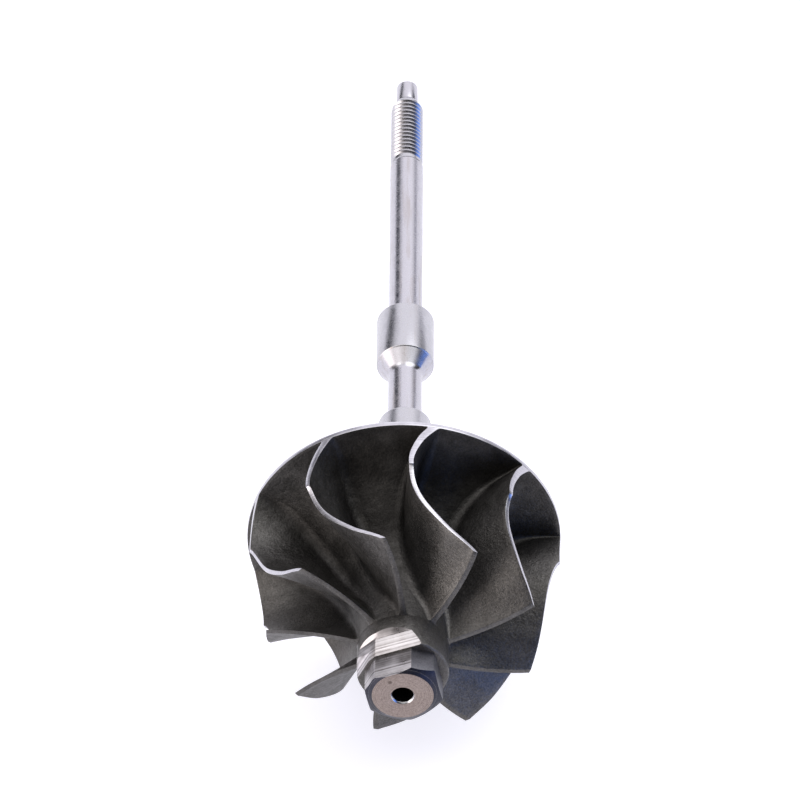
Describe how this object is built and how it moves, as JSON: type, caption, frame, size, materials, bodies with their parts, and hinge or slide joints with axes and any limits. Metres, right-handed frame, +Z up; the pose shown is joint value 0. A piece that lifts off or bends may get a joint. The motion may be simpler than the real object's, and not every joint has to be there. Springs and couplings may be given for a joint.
{
  "type": "turbocharger turbine wheel",
  "caption": "Radial turbocharger turbine wheel with swept vanes on a full back disc, a hexagonal nose, and a turned shaft with a collar, a journal and a threaded tail.",
  "frame": {"origin": "on the floor, at the centre of the footprint of the rotor as it lies on its rim and its shaft's tip", "axes": "+Z up, nose towards -Y and raised by 12.2 degrees, shaft's tail towards +Y, +X to the right when looking along +Y"},
  "size_m": [0.0552, 0.1564, 0.0559],
  "materials": {
    "wheel_casting": "dark satin cast nickel alloy with fine grain, bright machined edges and ground balance flats",
    "nose_end_face": "machined end face, heat tinted tan",
    "shaft_ground": "bright ground steel",
    "shaft_turned": "turned steel with fine lathe lines"
  },
  "bodies": {
    "root": {"back_disc": "wheel_casting", "hub": "wheel_casting", "blade_1": "wheel_casting", "blade_2": "wheel_casting", "blade_3": "wheel_casting", "blade_4": "wheel_casting", "blade_5": "wheel_casting", "blade_6": "wheel_casting", "blade_7": "wheel_casting", "blade_8": "wheel_casting", "blade_9": "wheel_casting", "hub_nose": "wheel_casting", "hex_nose": "wheel_casting", "nose_end": "nose_end_face", "weld_boss": "shaft_ground", "neck": "shaft_ground", "collar": "shaft_turned", "journal": "shaft_ground", "thread": "shaft_turned", "stub_tip": "shaft_ground"}
  },
  "joints": []
}
